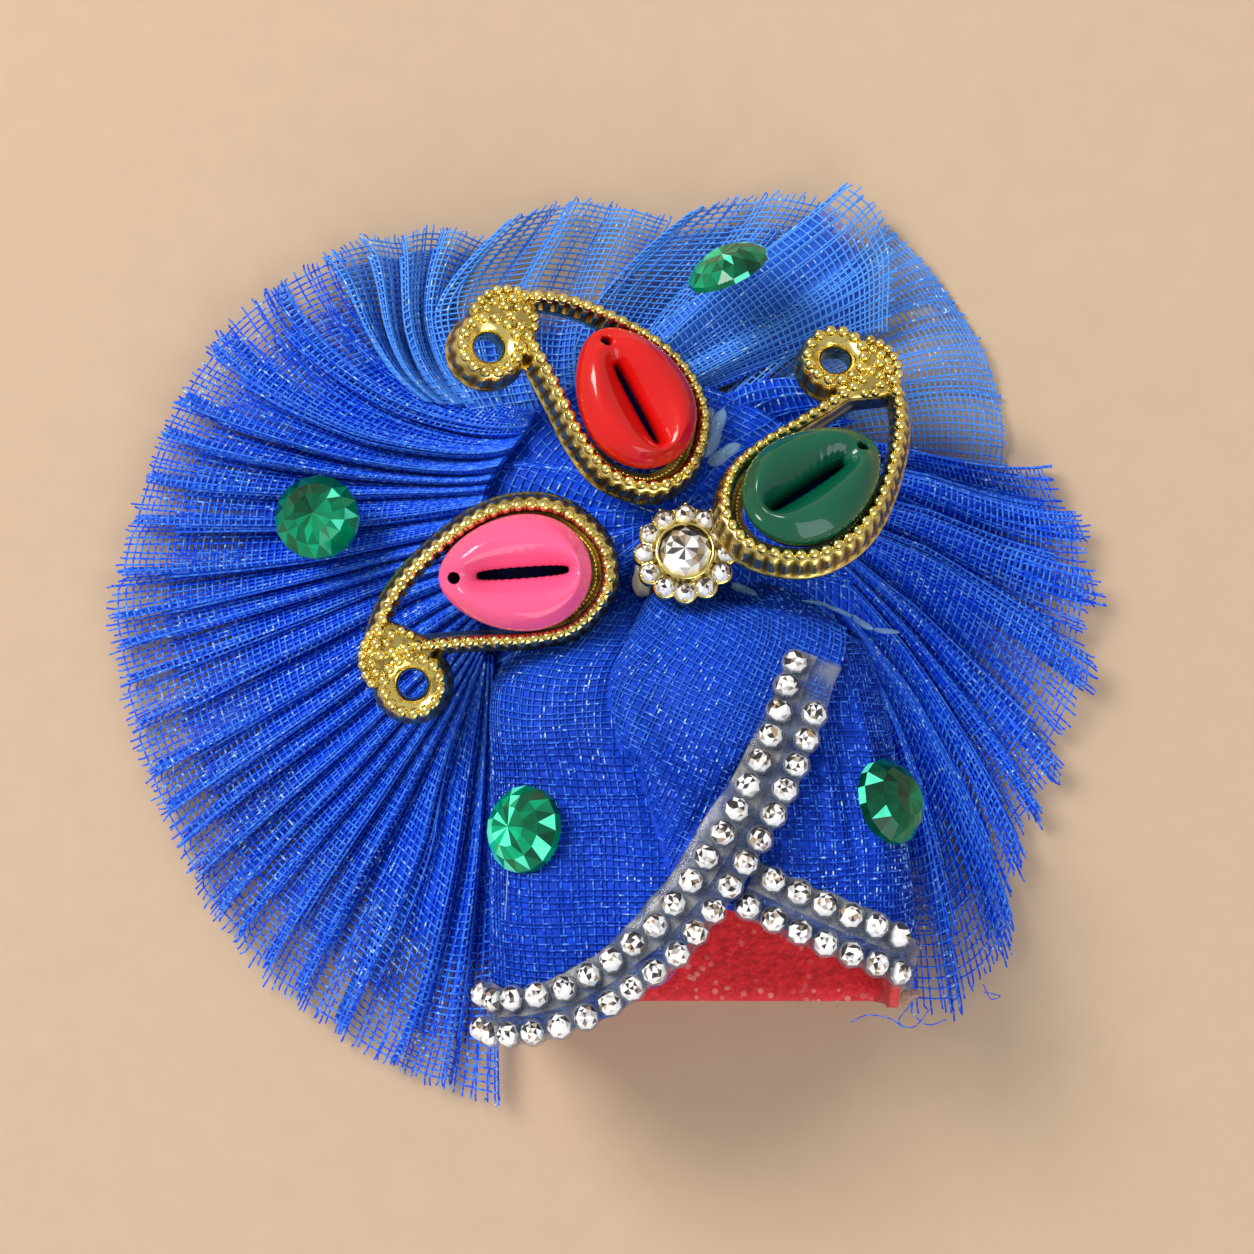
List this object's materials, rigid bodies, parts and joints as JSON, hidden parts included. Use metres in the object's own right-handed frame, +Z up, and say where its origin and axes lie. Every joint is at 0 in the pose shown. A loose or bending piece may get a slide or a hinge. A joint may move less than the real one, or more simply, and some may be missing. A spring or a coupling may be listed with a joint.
{
  "type": "deity mukut crown",
  "caption": "Small turban-style crown: net flaps folded over a felt cap, a pleated net fan behind it, beaded paisley frames with cowries, stones and rhinestone strips.",
  "frame": {"origin": "on the floor under the centre of the crown's bounding box, with the crown lying on its back", "axes": "+X to the right as seen from the front, +Y from the cap's rim to the top of the fan, +Z up out of the crown's front"},
  "size_m": [0.118, 0.1086, 0.0339],
  "materials": {
    "felt_red": "soft red craft felt",
    "net_blue": "open royal blue net with fine metallic glints",
    "gold": "bright gold plating on moulded plastic",
    "red_plastic": "glossy red",
    "green_plastic": "glossy dark green",
    "pink_plastic": "glossy pink",
    "crystal": "clear faceted stone over a foil back",
    "emerald": "green faceted stone over a foil back",
    "clear_plastic": "clear grey soft plastic strip"
  },
  "bodies": {
    "root": {"cap_shell": "felt_red", "left_wrap": "net_blue", "right_wrap": "net_blue", "net_fan": "net_blue", "paisley_frame_red": "gold", "paisley_frame_green": "gold", "paisley_frame_pink": "gold", "cowrie_red": "red_plastic", "cowrie_green": "green_plastic", "cowrie_pink": "pink_plastic", "flower_setting": "gold", "flower_petal_stones": "crystal", "flower_centre_stone": "crystal", "green_stone_fan_left": "emerald", "green_stone_fan_top": "emerald", "green_stone_left_flap": "emerald", "green_stone_right_flap": "emerald", "long_trim": "clear_plastic", "short_trim": "clear_plastic", "long_trim_stones": "crystal", "short_trim_stones": "crystal"}
  },
  "joints": []
}
